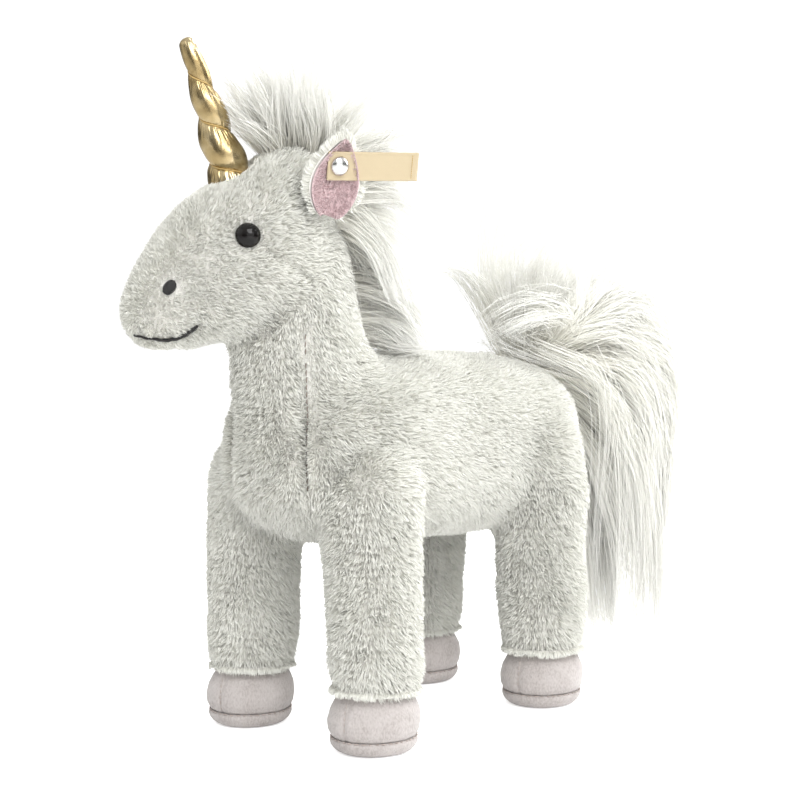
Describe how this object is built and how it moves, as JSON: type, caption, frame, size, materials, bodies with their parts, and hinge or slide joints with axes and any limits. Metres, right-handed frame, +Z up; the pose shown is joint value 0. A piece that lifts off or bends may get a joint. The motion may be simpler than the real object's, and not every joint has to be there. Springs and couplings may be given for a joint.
{
  "type": "plush unicorn",
  "caption": "Standing white plush unicorn with a stuffed gold horn, long pile mane and tail, velour hooves, and soft joints at neck, head, ears, horn, legs and tail.",
  "frame": {"origin": "on the ground under the middle of the toy's box", "axes": "the toy faces -Y, its left side is +X, and +Z is up"},
  "size_m": [0.1002, 0.284, 0.2565],
  "materials": {
    "white_plush": "short pile plush, matt",
    "stuffing": "polyester fibre",
    "long_pile": "long soft pile, slightly cream at the root",
    "eye_gloss": "gloss black",
    "white_washer": "plain white",
    "black_thread": "satin stitch embroidery",
    "gold_foil": "metallic foil coated fabric",
    "gold_thread": "sewing thread",
    "pink_satin": "dusty pink short nap",
    "rivet_metal": "polished dome",
    "cotton_ribbon": "plain woven ribbon",
    "hoof_velour": "fine wale velour, matt",
    "beans": "plastic granules in a bag"
  },
  "bodies": {
    "torso": {"torso_panel_left": "white_plush", "torso_panel_right": "white_plush", "belly_gusset": "white_plush", "torso_stuffing": "stuffing"},
    "neck": {"neck_panel_left": "white_plush", "neck_panel_right": "white_plush", "neck_gusset": "white_plush", "neck_stuffing": "stuffing", "neck_mane": "long_pile"},
    "head": {"head_panel_left": "white_plush", "head_panel_right": "white_plush", "head_gusset": "white_plush", "chin_gusset": "white_plush", "head_stuffing": "stuffing", "forelock": "long_pile", "eye_left": "eye_gloss", "eye_right": "eye_gloss", "eye_washer_left": "white_washer", "eye_washer_right": "white_washer", "nostril_stitches": "black_thread", "mouth_stitches": "black_thread"},
    "horn": {"horn_cover": "gold_foil", "horn_stuffing": "stuffing", "horn_thread": "gold_thread"},
    "ear_left": {"ear_left_outer": "white_plush", "ear_left_lining": "pink_satin", "ear_rivet": "rivet_metal", "ear_rivet_washer": "rivet_metal"},
    "ear_right": {"ear_right_outer": "white_plush", "ear_right_lining": "pink_satin"},
    "ribbon": {"ribbon_tab": "cotton_ribbon"},
    "tail_stub": {"tail_root": "white_plush"},
    "tail": {"tail_pile": "long_pile"},
    "front_left": {"front_left_leg": "white_plush", "front_left_leg_stuffing": "stuffing", "front_left_hoof": "hoof_velour", "front_left_sole": "hoof_velour", "front_left_beans": "beans"},
    "front_right": {"front_right_leg": "white_plush", "front_right_leg_stuffing": "stuffing", "front_right_hoof": "hoof_velour", "front_right_sole": "hoof_velour", "front_right_beans": "beans"},
    "hind_left": {"hind_left_leg": "white_plush", "hind_left_leg_stuffing": "stuffing", "hind_left_hoof": "hoof_velour", "hind_left_sole": "hoof_velour", "hind_left_beans": "beans"},
    "hind_right": {"hind_right_leg": "white_plush", "hind_right_leg_stuffing": "stuffing", "hind_right_hoof": "hoof_velour", "hind_right_sole": "hoof_velour", "hind_right_beans": "beans"}
  },
  "joints": [
    {"name": "neck_nod", "type": "hinge", "parent": "torso", "child": "neck", "pos_m": [0, -0.075, 0.122], "axis": [1, 0, 0], "range_deg": [-12, 12], "stiffness_Nm_per_rad": 6},
    {"name": "head_turn", "type": "hinge", "parent": "neck", "child": "head", "pos_m": [0, -0.085, 0.178], "axis": [0, 0, 1], "range_deg": [-25, 25], "stiffness_Nm_per_rad": 2},
    {"name": "horn_bend", "type": "hinge", "parent": "head", "child": "horn", "pos_m": [-0.00892, -0.10178, 0.203], "axis": [0.8829, -0.4695, 0], "range_deg": [-12, 12], "stiffness_Nm_per_rad": 0.2},
    {"name": "ear_left_fold", "type": "hinge", "parent": "head", "child": "ear_left", "pos_m": [0.02754, -0.09285, 0.192], "axis": [0.342, 0.9397, 0], "range_deg": [-5, 30], "stiffness_Nm_per_rad": 0.05},
    {"name": "ear_right_fold", "type": "hinge", "parent": "head", "child": "ear_right", "pos_m": [-0.02191, -0.06656, 0.192], "axis": [-0.5878, -0.809, 0], "range_deg": [-5, 30], "stiffness_Nm_per_rad": 0.05},
    {"name": "ribbon_swivel", "type": "hinge", "parent": "ear_left", "child": "ribbon", "pos_m": [0.03278, -0.09134, 0.20968], "axis": [0.9118, -0.3319, -0.2419], "range_deg": [-25, 25]},
    {"name": "front_left_flex", "type": "hinge", "parent": "torso", "child": "front_left", "pos_m": [0.0325, -0.0715, 0.092], "axis": [1, 0, 0], "range_deg": [-15, 15], "stiffness_Nm_per_rad": 8},
    {"name": "front_right_flex", "type": "hinge", "parent": "torso", "child": "front_right", "pos_m": [-0.0325, -0.0715, 0.092], "axis": [1, 0, 0], "range_deg": [-15, 15], "stiffness_Nm_per_rad": 8},
    {"name": "hind_left_flex", "type": "hinge", "parent": "torso", "child": "hind_left", "pos_m": [0.0325, 0.0295, 0.092], "axis": [1, 0, 0], "range_deg": [-15, 15], "stiffness_Nm_per_rad": 8},
    {"name": "hind_right_flex", "type": "hinge", "parent": "torso", "child": "hind_right", "pos_m": [-0.0325, 0.0295, 0.092], "axis": [1, 0, 0], "range_deg": [-15, 15], "stiffness_Nm_per_rad": 8},
    {"name": "tail_lift", "type": "hinge", "parent": "torso", "child": "tail_stub", "pos_m": [0, 0.058, 0.134], "axis": [1, 0, 0], "range_deg": [-10, 40], "stiffness_Nm_per_rad": 2},
    {"name": "tail_swing", "type": "hinge", "parent": "tail_stub", "child": "tail", "pos_m": [0, 0.06949, 0.14364], "axis": [0, 0, 1], "range_deg": [-20, 20], "stiffness_Nm_per_rad": 1}
  ]
}
